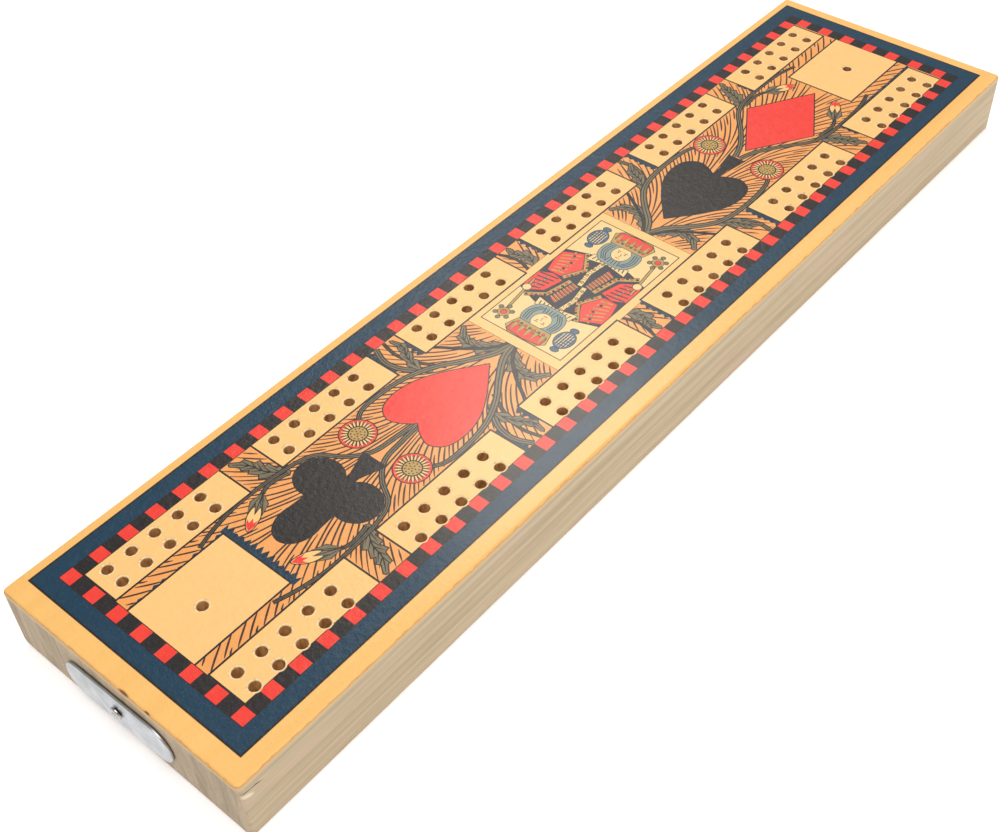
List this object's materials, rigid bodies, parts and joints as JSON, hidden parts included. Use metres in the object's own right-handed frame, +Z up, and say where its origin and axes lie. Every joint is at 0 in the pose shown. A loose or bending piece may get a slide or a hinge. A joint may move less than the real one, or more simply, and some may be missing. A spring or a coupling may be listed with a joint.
{
  "type": "cribbage board",
  "caption": "Flat wooden cribbage board with drilled peg tracks, a printed top, and a swinging steel plate over peg storage bores in one end.",
  "frame": {"origin": "centre of the underside of the wooden board, on the surface it stands on", "axes": "+X along the board towards the end without the cover plate, +Y to the left side seen from the cover plate end, +Z up"},
  "size_m": [0.3712, 0.09, 0.0222],
  "materials": {
    "printed_pine": "satin varnish over a screen-printed top; bare softwood on the sides",
    "plate_steel": "bright plated sheet",
    "screw_nickel": "nickel plated",
    "red_peg": "gloss",
    "blue_peg": "gloss"
  },
  "bodies": {
    "board": {"board_body": "printed_pine", "pivot_screw": "screw_nickel"},
    "cover": {"cover_plate": "plate_steel"},
    "red_peg_1": {"red_peg_1": "red_peg"},
    "red_peg_2": {"red_peg_2": "red_peg"},
    "red_peg_3": {"red_peg_3": "red_peg"},
    "blue_peg_1": {"blue_peg_1": "blue_peg"},
    "blue_peg_2": {"blue_peg_2": "blue_peg"},
    "blue_peg_3": {"blue_peg_3": "blue_peg"}
  },
  "joints": [
    {"name": "cover_swing", "type": "hinge", "parent": "board", "child": "cover", "pos_m": [-0.1852, 0.0004, 0.0107], "axis": [-1, 0, 0], "continuous": true},
    {"name": "red_peg_1_slide", "type": "slide", "parent": "board", "child": "red_peg_1", "axis": [-1, 0, 0], "range_m": [0, 0.0129]},
    {"name": "red_peg_2_slide", "type": "slide", "parent": "board", "child": "red_peg_2", "axis": [-1, 0, 0], "range_m": [0, 0.0129]},
    {"name": "red_peg_3_slide", "type": "slide", "parent": "board", "child": "red_peg_3", "axis": [-1, 0, 0], "range_m": [0, 0.0129]},
    {"name": "blue_peg_1_slide", "type": "slide", "parent": "board", "child": "blue_peg_1", "axis": [-1, 0, 0], "range_m": [0, 0.0129]},
    {"name": "blue_peg_2_slide", "type": "slide", "parent": "board", "child": "blue_peg_2", "axis": [-1, 0, 0], "range_m": [0, 0.0129]},
    {"name": "blue_peg_3_slide", "type": "slide", "parent": "board", "child": "blue_peg_3", "axis": [-1, 0, 0], "range_m": [0, 0.0129]}
  ]
}
